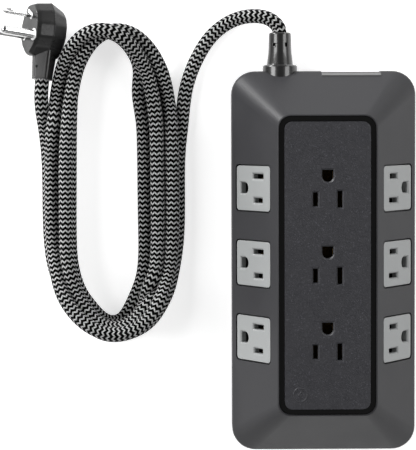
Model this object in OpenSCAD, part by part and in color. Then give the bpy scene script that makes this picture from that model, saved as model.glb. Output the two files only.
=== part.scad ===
// Nine-outlet surge protector block with a braided mains lead, lying on its back.
// Origin: centre of the block's footprint, on the surface its rubber feet stand on.
// +Y is the cord end, +Z is the side with the outlets. Millimetres.

/* [Block] */
// Width of the block across its skirt
body_w = 98.4; // [97:0.1:101]
// Length of the block along its skirt
body_l = 203.4; // [200:0.1:212]
// Height of the rim around the raised panel
rim_z = 48.2; // [47:0.1:50]
// Height of the upright skirt, above which the sides slope
skirt_z = 15; // [14.5:0.1:16]
// Corner radius of the skirt
corner_r = 12.5; // [10:0.5:15]
// Wall thickness of the mouldings
wall = 2.4; // [2:0.1:2.6]

/* [Outlets] */
// Distance between one outlet row and the next
row_pitch = 39.8; // [38:0.1:42]
// Distance between the centres of the two blade slots
blade_gap = 12.7; // [12.7:0.1:12.7]
// Distance from the blade slots' line to the ground hole's centre
ground_gap = 11.9; // [11.9:0.1:11.9]
// Size of a side outlet face up the slope
face_w = 29.3; // [28:0.1:30]
// Size of a side outlet face along the block
face_h = 23.8; // [22:0.1:25]
// Clear gap between a side face and its window
face_gap = 0.7; // [0.3:0.1:0.8]

/* [Panel] */
// Width of the raised centre panel
panel_w = 44.7; // [43:0.1:46]
// Length of the raised centre panel
panel_l = 149.9; // [147:0.1:152]
// Width of the channel around the panel
moat_w = 3; // [2.5:0.1:3.2]

/* [Cord] */
// Outer diameter of the braided cord
cord_d = 7.7; // [7:0.1:8.2]
// Distance of the cord's axis from the block's centre line
cord_x = -23; // [-24:0.1:-22]
// Height of the cord's axis where it enters the block
cord_z = 10; // [9.5:0.1:10.5]

/* [Hidden] */
$fn = 48;
tiny = 0.01;

// colours
shell_grey = [0.30, 0.30, 0.31];
panel_grey = [0.22, 0.22, 0.23];
gloss_black = [0.05, 0.05, 0.06];
face_grey = [0.66, 0.67, 0.67];
carrier_white = [0.85, 0.85, 0.82];
brass_tone = [0.80, 0.65, 0.33];
rubber_black = [0.12, 0.12, 0.12];
cord_grey = [0.45, 0.45, 0.45];
steel_tone = [0.72, 0.72, 0.74];

// block levels and slope
slope = 55;
foot_z = 1.5;
seam_z = 3.6;
seam_gap = 0.2;
end_y = body_l / 2;
rim_inset = (rim_z - skirt_z) / tan(slope);
rim_corner_r = 6.8;
skirt_fillet = 4;
rim_fillet = 0.9;
corner_steps = 9;
wall_flat = wall / sin(slope);

// side outlet faces: distance of a face's centre up the slope from the skirt's edge
face_up = 19.1;
face_x = body_w / 2 - face_up * cos(slope);
face_z = skirt_z + face_up * sin(slope);
face_sink = 0.15;
face_t = 3.7;
flange_t = 1.2;
flange_out = 1.6;
side_shift = 2;
centre_shift = 0.85;

// blade slots and ground hole
slot_w = 2.5;
line_slot_l = 7.2;
neutral_slot_l = 8.6;
lead_in = 0.8;
ground_r = 2.85;
ground_flat = 3.35;

// centre panel stack
panel_top = 49;
panel_t = 2.4;
panel_r = 4;
moat_floor = 46.7;
moat_t = 2;
panel_flange_top = moat_floor - moat_t - 0.1;
panel_flange_t = 1.4;
opening_w = panel_w + 2 * moat_w;
opening_l = panel_l + 2 * moat_w;
opening_r = panel_r + moat_w - 0.6;

// contact carriers, in an outlet's own frame, where its face is at zero
carrier_top = 4.4;
carrier_floor = 14.6;
carrier_t = 1.4;
side_carrier_w = 26;
centre_carrier_w = 25;
carrier_l = 2 * row_pitch + 27;
leaf_top = 4.8;
leaf_low = 11.6;
bus_top = 12.4;
bus_t = 0.8;
leaf_t = 0.5;
leaf_half_gap = 0.8;
ground_half_gap = 2.7;

// switch in the cord end
switch_x = 14.7;
switch_z = 8.6;
recess_w = 32;
recess_d = 0.85;
bezel_w = 29.6;
bezel_h = 9.6;
rocker_w = 23.4;
rocker_h = 6.6;
rocker_gap = 0.5;
rocker_pivot_y = end_y - 6.2;
rocker_tilt = 5;

// fasteners
housing_screw_xy = [[-36, -66], [36, -66], [-36, 66], [36, 66], [0, -90]];
foot_xy = [[-36, -87], [36, -87], [-36, 84], [36, 84]];
foot_d = 13;
foot_pocket = 0.8;
keyhole_y = 40;
keyhole_head_d = 8.6;
keyhole_slot_w = 4.6;
keyhole_slot_l = 7;
screw_boss_d = 7;
boss_top = 25.5;
screw_d = 3;
board_xy = [[-24, -66], [24, -66], [-24, 6], [24, 6]];
board_z = 6.6;
board_t = 1.6;
clamp_y = 86;
clamp_screw_dx = 9;

// inner leads
lead_d = 2.4;

// strain relief
collar_d = 18.4;
collar_out = 3.4;
boot_tip_y = 122.4;
boot_base_d = 13.9;
boot_waist_d = 12.1;
boot_tip_d = 11.9;

// lead-in: from the boot's tip round to the coil
lead_in_route = [
    [-23, 122.4, 10], [-24.4, 126, 10], [-28, 129.3, 9.8], [-33, 131, 9], [-39, 131.3, 7.8],
    [-46, 130, 6.4], [-52, 127, 5.4], [-58, 122.5, 4.6], [-63, 116.5, 4.1], [-67, 109.5, 4],
    [-70.5, 102, 4], [-73, 94, 4], [-74.5, 86, 4]
];
// tail: from the plug's relief down to the coil's outer lane
tail_route = [
    [-149.9, 98.1, 14.5], [-150.4, 93, 14.9], [-150.6, 87, 14.2], [-150.3, 81, 12.4],
    [-149.6, 75, 9.6], [-148.8, 68, 6.9], [-148.2, 61, 5], [-147.8, 54, 4.1], [-147.6, 46, 3.9]
];
tube_sides = 12;

// coil: an oval ring that holds the turns of the cord
coil_x = -113.3;
coil_top_y = 89.6;
coil_low_y = 6;
coil_tip_x = -110;
coil_tip_y = -22.5;
coil_r = 38;
coil_tip_r = 21.8;
coil_hole_r = 17.6;
coil_hole_tip_r = 6;
coil_h = 2.6 * cord_d;

// plug: a right-angle plug lying on its side, blades pointing away from the block
plug_pos = [-156.4, 126.9, 15.1];
plug_azimuth = 171;
plug_elevation = 28;
plug_roll = 7;
plug_depth = 18;
// half of the face's outline, from its top round to the end nearest the cord
plug_half = [[4.2, 11.5], [8.8, 6.8], [11.2, 0.5], [11.2, -6.5], [7.6, -12], [2.5, -16.4]];
plug_twist = 60;
blade_w = 6.35;
blade_t = 1.5;
blade_l = 16;
pin_d = 4.75;
pin_l = 19;
blade_root = 7;
pattern_shift = [-3.7, 0.15];
surround_w = 3.3;
surround_l = 7.6;
surround_d = pin_d + 1.8;
plug_relief_x = 1.2;
plug_relief_z = -10;
plug_relief_end = 28.3;

// ---------- shared shapes ----------

// rounded rectangle with true arcs
module rounded(w, l, r) {
    square([w - 2 * r, l], center = true);
    square([w, l - 2 * r], center = true);
    for (x = [-1, 1], y = [-1, 1])
        translate([x * (w / 2 - r), y * (l / 2 - r)])
            circle(r = r);
}

// points of one level of the housing, inset from the skirt's outline
function level(inset, z, shrink) =
    let (
        hw = body_w / 2 - inset - shrink,
        hl = body_l / 2 - inset - shrink,
        share = max(0, min(1, inset / rim_inset)),
        r = max(3, corner_r + (rim_corner_r - corner_r) * share - shrink)
    )
    [for (q = [0:3], k = [0:corner_steps])
        let (
            a = q * 90 + 90 * k / corner_steps,
            sx = (q == 0 || q == 3) ? 1 : -1,
            sy = (q == 0 || q == 1) ? 1 : -1
        )
        [sx * (hw - r) + r * cos(a), sy * (hl - r) + r * sin(a), z]];

// a closed skin over a stack of levels with equal point counts
module skin(levels) {
    n = len(levels[0]);
    m = len(levels);
    faces = concat(
        [[for (i = [0:n - 1]) i]],
        [for (j = [0:m - 2], i = [0:n - 1])
            each [
                [j * n + i, (j + 1) * n + i, (j + 1) * n + (i + 1) % n],
                [j * n + i, (j + 1) * n + (i + 1) % n, j * n + (i + 1) % n]
            ]],
        [[for (i = [n - 1:-1:0]) (m - 1) * n + i]]
    );
    polyhedron(points = [for (l = levels) each l], faces = faces, convexity = 6);
}

// outer form of the upper housing: skirt, fillet, slope, rounded rim
function outer_levels() =
    let (
        turn = 90 - slope,
        t1 = skirt_fillet * tan(turn / 2),
        t2 = rim_fillet * tan(slope / 2),
        top_in = rim_inset + t2
    )
    concat(
        [level(0.3, seam_z + seam_gap, 0), level(0, seam_z + 0.6, 0)],
        [for (a = [0:turn / 5:turn])
            level(skirt_fillet * (1 - cos(a)), skirt_z - t1 + skirt_fillet * sin(a), 0)],
        [for (s = [0.35, 0.7]) level(rim_inset * s, skirt_z + (rim_z - skirt_z) * s, 0)],
        [for (b = [0:slope / 4:slope])
            level(top_in - rim_fillet * sin(slope - b),
                rim_z - rim_fillet + rim_fillet * cos(slope - b), 0)]
    );

// inner cavity of the upper housing
function inner_levels() =
    let (top = rim_z - wall - 0.4)
    [
        level(0, seam_z, wall), level(0, skirt_z, wall_flat - 0.1),
        level((top - skirt_z) / tan(slope), top, wall_flat)
    ];

// a side outlet's own frame: z out of the slope, y down the slope, x along the block
module side_frame(side, row) {
    translate([side * face_x, row * row_pitch, face_z])
        rotate([0, side * slope, 0])
            rotate([0, 0, -side * 90])
                children();
}

// a centre outlet's own frame: z up, ground hole towards +y
module centre_frame(row) {
    translate([0, row * row_pitch, panel_top])
        children();
}

// outline of the ground hole, flat on the side away from the slots
module ground_outline(grow) {
    circle(r = ground_r + grow);
    translate([-ground_r - grow, 0])
        square([2 * (ground_r + grow), ground_flat + grow]);
}

// one blade slot with its lead-in, through a face of thickness t
module slot_cut(x, y, long, t) {
    translate([x, y, -t - tiny])
        linear_extrude(t + 1)
            square([slot_w, long], center = true);
    translate([x, y, -lead_in])
        linear_extrude(lead_in + tiny, slices = 1,
            scale = [(slot_w + 2 * lead_in) / slot_w, (long + 2 * lead_in) / long])
            square([slot_w, long], center = true);
}

// the three openings of one outlet, centred on its own pattern plus a shift along y
module outlet_cuts(shift, t) {
    slot_cut(-blade_gap / 2, shift - ground_gap / 2, line_slot_l, t);
    slot_cut(blade_gap / 2, shift - ground_gap / 2, neutral_slot_l, t);
    translate([0, shift + ground_gap / 2, -t - tiny])
        linear_extrude(t + 1)
            ground_outline(0);
    translate([0, shift + ground_gap / 2, -lead_in])
        linear_extrude(lead_in + tiny, slices = 1, scale = (ground_r + lead_in) / ground_r)
            ground_outline(0);
}

// a round tube swept through a list of points
module swept_tube(route, d, sides) {
    last = len(route) - 1;
    rings = [for (i = [0:last])
        let (
            t = route[min(i + 1, last)] - route[max(i - 1, 0)],
            dir = t / norm(t),
            side = cross(dir, [0, 0, 1]),
            u = side / norm(side),
            v = cross(u, dir)
        )
        [for (k = [0:sides - 1])
            route[i] + d / 2 * (cos(360 * k / sides) * u + sin(360 * k / sides) * v)]];
    skin(rings);
}

// ---------- housing ----------

module cord_hole(grow) {
    translate([cord_x, end_y - 8, cord_z])
        rotate([-90, 0, 0])
            cylinder(d = collar_d + grow, h = 20);
}

module base_cover() {
    color(shell_grey)
        difference() {
            union() {
                skin([level(0.9, foot_z, 0), level(0.2, foot_z + 0.7, 0), level(0.3, seam_z, 0)]);
                // locating lip inside the skirt
                translate([0, 0, seam_z - 0.5])
                    linear_extrude(3.5)
                        difference() {
                            rounded(body_w - 2 * wall - 1, body_l - 2 * wall - 1, corner_r - wall);
                            rounded(body_w - 2 * wall - 4, body_l - 2 * wall - 4, corner_r - wall - 1.5);
                        }
                // posts for the circuit board and the cord clamp
                for (p = board_xy)
                    translate([p[0], p[1], seam_z - 0.5])
                        cylinder(d = 6, h = board_z - seam_z + 0.5);
                for (s = [-1, 1])
                    translate([cord_x + s * clamp_screw_dx, clamp_y, seam_z - 0.5])
                        cylinder(d = 6, h = cord_z - seam_z + 0.5);
            }
            for (p = board_xy)
                translate([p[0], p[1], seam_z + 0.2])
                    cylinder(d = screw_d, h = 10);
            for (s = [-1, 1])
                translate([cord_x + s * clamp_screw_dx, clamp_y, seam_z + 0.2])
                    cylinder(d = screw_d, h = 10);
            for (p = housing_screw_xy) {
                translate([p[0], p[1], 0])
                    cylinder(d = screw_d + 0.6, h = 10);
                translate([p[0], p[1], foot_z - 1])
                    cylinder(d = screw_d + 3.4, h = 2);
            }
            for (p = foot_xy)
                translate([p[0], p[1], foot_z - 1])
                    cylinder(d = foot_d + 0.2, h = 1 + foot_pocket);
            for (y = [-keyhole_y, keyhole_y])
                translate([0, y, 0]) {
                    cylinder(d = keyhole_head_d, h = 10);
                    translate([-keyhole_slot_w / 2, 0, 0])
                        cube([keyhole_slot_w, keyhole_slot_l, 10]);
                    translate([0, keyhole_slot_l, 0])
                        cylinder(d = keyhole_slot_w, h = 10);
                }
            cord_hole(0.4);
            // clearance for the switch behind the end wall
            translate([switch_x - bezel_w / 2 - 0.6, end_y - 30, seam_z])
                cube([bezel_w + 1.2, 40, 10]);
        }
}

module upper_housing() {
    color(shell_grey)
        difference() {
            union() {
                difference() {
                    skin(outer_levels());
                    skin(inner_levels());
                    translate([0, 0, 30])
                        linear_extrude(40)
                            rounded(opening_w, opening_l, opening_r);
                }
                // screw bosses, their tops buried in the slopes above them
                for (p = housing_screw_xy)
                    translate([p[0], p[1], seam_z + seam_gap])
                        cylinder(d = screw_boss_d, h = boss_top - seam_z - seam_gap);
            }
            for (p = housing_screw_xy)
                translate([p[0], p[1], seam_z - 1])
                    cylinder(d = screw_d, h = 13);
            for (side = [-1, 1], row = [-1:1])
                side_frame(side, row)
                    translate([0, 0, -8])
                        linear_extrude(16)
                            rounded(face_h + 2 * face_gap, face_w + 2 * face_gap, 2.5);
            cord_hole(0.4);
            // shallow recess in the cord end, and the switch window in it
            translate([switch_x - recess_w / 2, end_y - recess_d, 0])
                cube([recess_w, 10, 30]);
            translate([switch_x - bezel_w / 2 - 0.2, end_y - 20, switch_z - bezel_h / 2 - 0.2])
                cube([bezel_w + 0.4, 30, bezel_h + 0.4]);
        }
}

module centre_trim_ring() {
    color(gloss_black)
        translate([0, 0, moat_floor - moat_t])
            linear_extrude(moat_t)
                difference() {
                    rounded(opening_w - 0.2, opening_l - 0.2, opening_r - 0.1);
                    rounded(panel_w + 0.2, panel_l + 0.2, panel_r + 0.1);
                }
}

module centre_panel() {
    color(panel_grey)
        difference() {
            union() {
                translate([0, 0, panel_flange_top])
                    linear_extrude(panel_top - panel_flange_top)
                        rounded(panel_w, panel_l, panel_r);
                translate([0, 0, panel_flange_top - panel_flange_t])
                    linear_extrude(panel_flange_t)
                        rounded(panel_w + 4, panel_l + 4, panel_r + 2);
            }
            translate([0, 0, panel_flange_top - panel_flange_t - 1])
                linear_extrude(panel_top - panel_t - panel_flange_top + panel_flange_t + 1)
                    rounded(panel_w - 4, panel_l - 4, panel_r - 1);
            for (row = [-1:1])
                centre_frame(row)
                    outlet_cuts(centre_shift, panel_t);
        }
}

// ---------- outlet faces ----------

module outlet_face(side, row) {
    color(face_grey)
        side_frame(side, row)
            translate([0, 0, -face_sink])
                difference() {
                    union() {
                        translate([0, 0, -face_t])
                            linear_extrude(face_t)
                                rounded(face_h, face_w, 2);
                        translate([0, 0, -face_t])
                            linear_extrude(flange_t)
                                rounded(face_h + 2 * flange_out, face_w + 2 * flange_out, 2);
                    }
                    outlet_cuts(side_shift, face_t);
                }
}

module left_outlet_face_1() { outlet_face(-1, 1); }
module left_outlet_face_2() { outlet_face(-1, 0); }
module left_outlet_face_3() { outlet_face(-1, -1); }
module right_outlet_face_1() { outlet_face(1, 1); }
module right_outlet_face_2() { outlet_face(1, 0); }
module right_outlet_face_3() { outlet_face(1, -1); }

// ---------- contacts and their carriers ----------

// open tray that holds one column of contacts; x across the column, y along it
module carrier_tray(w) {
    difference() {
        translate([-w / 2, -carrier_l / 2, -carrier_floor - carrier_t])
            cube([w, carrier_l, carrier_floor + carrier_t - carrier_top]);
        for (row = [-1:1])
            translate([-w / 2 + carrier_t, row * row_pitch - row_pitch / 2 + 0.7, -carrier_floor])
                cube([w - 2 * carrier_t, row_pitch - 1.4, carrier_floor]);
        // notches that let the bus bars pass the ribs
        translate([-w / 2 + carrier_t, -row_pitch, -carrier_floor])
            cube([w - 2 * carrier_t, 2 * row_pitch, carrier_floor - leaf_low]);
    }
}

module centre_contact_carrier() {
    color(carrier_white)
        centre_frame(0)
            carrier_tray(centre_carrier_w);
}

module side_contact_carrier(side) {
    color(carrier_white)
        side_frame(side, 0)
            rotate([0, 0, 90])
                carrier_tray(side_carrier_w);
}

module left_contact_carrier() { side_contact_carrier(-1); }
module right_contact_carrier() { side_contact_carrier(1); }

// two spring leaves that grip one blade, long side along y
module blade_clip(x, y, low) {
    for (s = [-1, 1])
        translate([x + s * (leaf_half_gap + leaf_t / 2) - leaf_t / 2, y - 3, -low])
            cube([leaf_t, 6, low - leaf_top]);
}

// two spring leaves that grip the round ground pin
module ground_clip(y, low) {
    for (s = [-1, 1])
        translate([s * (ground_half_gap + leaf_t / 2) - leaf_t / 2, y - 2.5, -low])
            cube([leaf_t, 5, low - leaf_top]);
}

// centre column: bus bars run along y, straight below their clips
module centre_blade_contacts(side) {
    color(brass_tone)
        union() {
            for (row = [-1:1])
                centre_frame(row)
                    blade_clip(side * blade_gap / 2, centre_shift - ground_gap / 2, bus_top + tiny);
            centre_frame(0)
                translate([side * blade_gap / 2 - 2, -row_pitch - 10, -bus_top - bus_t])
                    cube([4, 2 * row_pitch + 8, bus_t]);
        }
}

module centre_line_contacts() { centre_blade_contacts(-1); }
module centre_neutral_contacts() { centre_blade_contacts(1); }

module centre_ground_contacts() {
    color(brass_tone)
        union() {
            for (row = [-1:1])
                centre_frame(row)
                    ground_clip(centre_shift + ground_gap / 2, bus_top + tiny);
            centre_frame(0)
                translate([-3.4, -row_pitch, -bus_top - bus_t])
                    cube([6.8, 2 * row_pitch + 10, bus_t]);
        }
}

// side columns: bus bars run along the block, each joined to its clips by a tab
module side_blade_contacts(side, pole) {
    tab_y = side_shift - ground_gap / 2 + pole * 2.2;
    color(brass_tone)
        union() {
            for (row = [-1:1])
                side_frame(side, row) {
                    blade_clip(pole * blade_gap / 2, side_shift - ground_gap / 2, leaf_low);
                    translate([pole * blade_gap / 2 - 1.3, tab_y - 0.7, -bus_top - tiny])
                        cube([2.6, 1.4, bus_top - leaf_low + 0.8]);
                }
            side_frame(side, 0)
                translate([-row_pitch - 8, tab_y - 1.5, -bus_top - bus_t])
                    cube([2 * row_pitch + 16, 3, bus_t]);
        }
}

module left_line_contacts() { side_blade_contacts(-1, -1); }
module left_neutral_contacts() { side_blade_contacts(-1, 1); }
module right_line_contacts() { side_blade_contacts(1, -1); }
module right_neutral_contacts() { side_blade_contacts(1, 1); }

module side_ground_contacts(side) {
    color(brass_tone)
        union() {
            for (row = [-1:1])
                side_frame(side, row)
                    ground_clip(side_shift + ground_gap / 2, bus_top + tiny);
            side_frame(side, 0)
                translate([-row_pitch - 4, side_shift + ground_gap / 2 - 1.5, -bus_top - bus_t])
                    cube([2 * row_pitch + 8, 3, bus_t]);
        }
}

module left_ground_contacts() { side_ground_contacts(-1); }
module right_ground_contacts() { side_ground_contacts(1); }

// ---------- surge protection board ----------

board_top = board_z + 0.1 + board_t;

module circuit_board() {
    color("darkgreen")
        translate([0, 0, board_z + 0.1])
            difference() {
                translate([-28, -70, 0])
                    cube([56, 80, board_t]);
                for (p = board_xy)
                    translate([p[0], p[1], -1])
                        cylinder(d = screw_d + 0.4, h = 5);
            }
}

// three discs standing on edge
module varistors() {
    color("royalblue")
        for (i = [-1:1])
            translate([i * 10, -20, board_top + 8.1])
                rotate([90, 0, 0])
                    cylinder(d = 15, h = 4.6, center = true);
}

module filter_capacitor() {
    color("goldenrod")
        translate([-13, -60, board_top + 0.1])
            cube([18, 9, 15]);
}

// ring core lying flat
module choke_coil() {
    color("chocolate")
        translate([8, -38, board_top + 0.1])
            difference() {
                cylinder(d = 20, h = 9);
                translate([0, 0, -1])
                    cylinder(d = 9, h = 11);
            }
}

module thermal_fuse() {
    color("gainsboro")
        translate([-12, -6, board_top + 2.6])
            rotate([0, 90, 0])
                cylinder(d = 5, h = 24);
}

// ---------- switch ----------

module switch_frame() {
    color(gloss_black)
        translate([switch_x, 0, switch_z])
            difference() {
                union() {
                    translate([-bezel_w / 2, end_y - 5, -bezel_h / 2])
                        cube([bezel_w, 4.05, bezel_h]);
                    translate([-13.5, end_y - 20, -bezel_h / 2])
                        cube([27, 15 + tiny, bezel_h]);
                }
                translate([-rocker_w / 2 - rocker_gap, end_y - 10.5, -rocker_h / 2 - 0.4])
                    cube([rocker_w + 2 * rocker_gap, 20, rocker_h + 0.8]);
            }
}

// rocker pressed at its -x end, turning about an upright pin
module switch_rocker() {
    color([0.07, 0.07, 0.08])
        translate([switch_x, rocker_pivot_y, switch_z - rocker_h / 2])
            rotate([0, 0, rocker_tilt])
                linear_extrude(rocker_h)
                    difference() {
                        union() {
                            translate([-rocker_w / 2, 0.6])
                                square([rocker_w, 3.9]);
                            circle(r = 3.2);
                        }
                        // shallow finger dish across the face
                        translate([0, 64.1])
                            circle(r = 60, $fn = 180);
                    }
}

module switch_terminals() {
    color(brass_tone)
        for (x = [-8, 0, 8])
            translate([switch_x + x - 2.4, end_y - 28, switch_z - 0.4])
                cube([4.8, 7.9, 0.8]);
}

// ---------- inner leads ----------

relief_in_y = end_y - 19;

module line_lead() {
    color("black")
        swept_tube([[cord_x + 2.2, relief_in_y - 0.3, cord_z], [cord_x + 3, 76, cord_z + 0.5],
            [cord_x + 7, 68, cord_z + 1], [-6, 62, 10.5], [0, 61, 10], [5, 65, 9],
            [switch_x - 8, end_y - 28.5, switch_z]], lead_d, 8);
}

module neutral_lead() {
    color("white")
        swept_tube([[cord_x, relief_in_y - 0.3, cord_z + 2.4], [cord_x + 1, 72, 14], [-17, 58, 16],
            [-11, 42, 16], [-8, 26, 14.5], [-8, 14, 12], [-8, 6, board_top + 1.8]], lead_d, 8);
}

module ground_lead() {
    color("green")
        swept_tube([[cord_x - 2.2, relief_in_y - 0.3, cord_z], [cord_x - 3, 74, 13.5], [-22, 62, 19],
            [-17, 48, 23.5], [-15.5, 32, 25.5], [-15, 10, 26], [-15, -30, 26]], lead_d, 8);
}

// ---------- cord entry ----------

module cord_clamp() {
    color(carrier_white)
        difference() {
            translate([cord_x - 13, clamp_y - 4, cord_z + 0.1])
                cube([26, 8, 6.5]);
            translate([cord_x, clamp_y - 5, cord_z])
                rotate([-90, 0, 0])
                    cylinder(d = cord_d + 0.3, h = 10);
            for (s = [-1, 1])
                translate([cord_x + s * clamp_screw_dx, clamp_y, 0])
                    cylinder(d = screw_d + 0.4, h = 30);
        }
}

// moulded collar, boot and the cord's jacket inside the block
module strain_relief() {
    collar_in = end_y - 4;
    collar_end = end_y + collar_out;
    color(rubber_black)
        translate([cord_x, 0, cord_z])
            rotate([-90, 0, 0])
                rotate_extrude($fn = 64)
                    polygon([
                        [0, relief_in_y], [cord_d / 2, relief_in_y], [cord_d / 2, collar_in - 4],
                        [6, collar_in - 4], [6, collar_in], [collar_d / 2, collar_in],
                        [collar_d / 2, collar_end - 0.8], [collar_d / 2 - 0.8, collar_end],
                        [boot_base_d / 2, collar_end], [boot_waist_d / 2, collar_end + 6],
                        [boot_waist_d / 2 - 0.05, collar_end + 9], [boot_tip_d / 2, boot_tip_y - 1.2],
                        [boot_tip_d / 2 - 1, boot_tip_y], [0, boot_tip_y]
                    ]);
}

// ---------- cord ----------

module cord_lead_in() {
    color(cord_grey)
        swept_tube(lead_in_route, cord_d, tube_sides);
}

module cord_coil() {
    color(cord_grey)
        linear_extrude(coil_h)
            difference() {
                hull() {
                    translate([coil_x, coil_top_y]) circle(r = coil_r);
                    translate([coil_x, coil_low_y]) circle(r = coil_r);
                    translate([coil_tip_x, coil_tip_y]) circle(r = coil_tip_r);
                }
                hull() {
                    translate([coil_x, coil_top_y + 11]) circle(r = coil_hole_r);
                    translate([coil_x, coil_low_y + 6]) circle(r = coil_hole_r);
                    translate([coil_tip_x - 3, coil_tip_y + 4]) circle(r = coil_hole_tip_r);
                }
            }
}

module cord_tail() {
    color(cord_grey)
        swept_tube(tail_route, cord_d, tube_sides);
}

// ---------- plug ----------

// the plug's own frame: z along the blades, -y towards the cord
module plug_frame() {
    translate(plug_pos)
        rotate([0, 0, plug_azimuth])
            rotate([0, 90 - plug_elevation, 0])
                rotate([0, 0, 180 + plug_roll])
                    children();
}

// blade pattern: x between the blades, -y towards the ground pin
module blade_frame() {
    plug_frame()
        translate(pattern_shift)
            rotate([0, 0, plug_twist])
                children();
}

// one slice of the plug: the face's outline, resized and moved sideways
module plug_slice(share, shift, z, t) {
    mirrored = [for (i = [len(plug_half) - 1:-1:0]) [-plug_half[i][0], plug_half[i][1]]];
    translate([shift[0], shift[1], z])
        linear_extrude(t)
            polygon(share * concat(plug_half, mirrored));
}

// what shows of the bridge: a patch round each blade and one round the pin
module bridge_patches(grow) {
    for (s = [-1, 1])
        translate([s * blade_gap / 2, 0])
            rounded(surround_w + 2 * grow, surround_l + 2 * grow, 1.2);
    translate([0, -ground_gap])
        circle(d = surround_d + 2 * grow);
}

// buried plate that joins the patches
module bridge_plate(grow) {
    rounded(blade_gap + surround_w + 2 * grow, surround_l + 2 * grow, 1.2);
    translate([0, -ground_gap / 2])
        square([surround_d + 2 * grow, ground_gap], center = true);
}

module plug_body() {
    color(rubber_black)
        difference() {
            union() {
                plug_frame()
                    hull() {
                        plug_slice(0.96, [0, 0], -0.5, 0.5);
                        plug_slice(1, [0, 0], -2.5, 1.3);
                        plug_slice(1.05, [0.3, 0.6], -10, 1);
                        plug_slice(0.66, [1.6, 0.5], -plug_depth, 0.5);
                    }
                plug_frame()
                    translate([plug_relief_x, -8, plug_relief_z])
                        rotate([90, 0, 0])
                            cylinder(d1 = 14, d2 = 10.6, h = plug_relief_end - 8);
            }
            blade_frame() {
                translate([0, 0, -2.1])
                    linear_extrude(3)
                        bridge_patches(0.1);
                translate([0, 0, -3.1])
                    linear_extrude(1.3)
                        bridge_plate(0.1);
                for (s = [-1, 1])
                    translate([s * blade_gap / 2 - blade_t / 2, -blade_w / 2, -blade_root])
                        cube([blade_t, blade_w, 10]);
                translate([0, -ground_gap, -blade_root])
                    cylinder(d = pin_d, h = 10);
            }
        }
}

// light moulding that holds the blades and the pin, seen round their roots
module plug_bridge() {
    color([0.85, 0.85, 0.83])
        blade_frame()
            difference() {
                union() {
                    translate([0, 0, -2.1])
                        linear_extrude(2.4)
                            bridge_patches(0);
                    translate([0, 0, -3])
                        linear_extrude(1.1)
                            bridge_plate(0);
                }
                for (s = [-1, 1])
                    translate([s * blade_gap / 2 - blade_t / 2, -blade_w / 2, -5])
                        cube([blade_t, blade_w, 10]);
                translate([0, -ground_gap, -5])
                    cylinder(d = pin_d, h = 10);
            }
}

module plug_blade(side) {
    long = blade_root + blade_l;
    color(steel_tone)
        blade_frame()
            translate([side * blade_gap / 2 - blade_t / 2, 0, -blade_root])
                rotate([90, 0, 90])
                    linear_extrude(blade_t)
                        difference() {
                            polygon([
                                [-blade_w / 2, 0], [blade_w / 2, 0], [blade_w / 2, long - 1.6],
                                [blade_w / 2 - 1.6, long], [1.6 - blade_w / 2, long],
                                [-blade_w / 2, long - 1.6]
                            ]);
                            translate([0, long - 4])
                                circle(d = 3.2);
                        }
}

module plug_line_blade() { plug_blade(-1); }
module plug_neutral_blade() { plug_blade(1); }

module plug_ground_pin() {
    round_z = blade_root + pin_l - pin_d / 2;
    color(steel_tone)
        blade_frame()
            translate([0, -ground_gap, -blade_root]) {
                cylinder(d = pin_d, h = round_z);
                translate([0, 0, round_z])
                    sphere(d = pin_d);
            }
}

// ---------- fasteners and feet ----------

module pan_screw(head_d, head_h, length) {
    difference() {
        union() {
            cylinder(d = head_d, h = head_h);
            translate([0, 0, -length])
                cylinder(d = screw_d - 0.3, h = length + tiny);
        }
        for (a = [0, 90])
            rotate([0, 0, a])
                translate([-head_d / 4, -0.4, head_h - 0.7])
                    cube([head_d / 2, 0.8, 2]);
    }
}

module clamp_screws() {
    color(steel_tone)
        for (s = [-1, 1])
            translate([cord_x + s * clamp_screw_dx, clamp_y, cord_z + 6.7])
                pan_screw(5.6, 2, 11);
}

module board_screws() {
    color(steel_tone)
        for (p = board_xy)
            translate([p[0], p[1], board_top + 0.1])
                pan_screw(5.6, 2, 4);
}

module housing_screws() {
    color(steel_tone)
        for (p = housing_screw_xy)
            translate([p[0], p[1], foot_z + 0.9])
                rotate([180, 0, 0])
                    pan_screw(5.8, 0.8, 9);
}

module rubber_feet() {
    color(rubber_black)
        for (p = foot_xy)
            translate([p[0], p[1], 0]) {
                cylinder(d1 = foot_d - 1, d2 = foot_d, h = 0.5);
                translate([0, 0, 0.5])
                    cylinder(d = foot_d, h = foot_z + foot_pocket - 0.6);
            }
}

base_cover();
upper_housing();
centre_trim_ring();
centre_panel();
left_outlet_face_1();
left_outlet_face_2();
left_outlet_face_3();
right_outlet_face_1();
right_outlet_face_2();
right_outlet_face_3();
centre_contact_carrier();
left_contact_carrier();
right_contact_carrier();
centre_line_contacts();
centre_neutral_contacts();
centre_ground_contacts();
left_line_contacts();
left_neutral_contacts();
left_ground_contacts();
right_line_contacts();
right_neutral_contacts();
right_ground_contacts();
circuit_board();
varistors();
filter_capacitor();
choke_coil();
thermal_fuse();
switch_frame();
switch_rocker();
switch_terminals();
line_lead();
neutral_lead();
ground_lead();
cord_clamp();
clamp_screws();
board_screws();
housing_screws();
rubber_feet();
strain_relief();
cord_lead_in();
cord_coil();
cord_tail();
plug_body();
plug_bridge();
plug_line_blade();
plug_neutral_blade();
plug_ground_pin();
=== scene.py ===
"""Looks of a nine-outlet surge protector block with a coiled, braided mains lead."""
import math

import bmesh
import bpy
import numpy as np
from mathutils import Matrix, Vector


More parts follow.
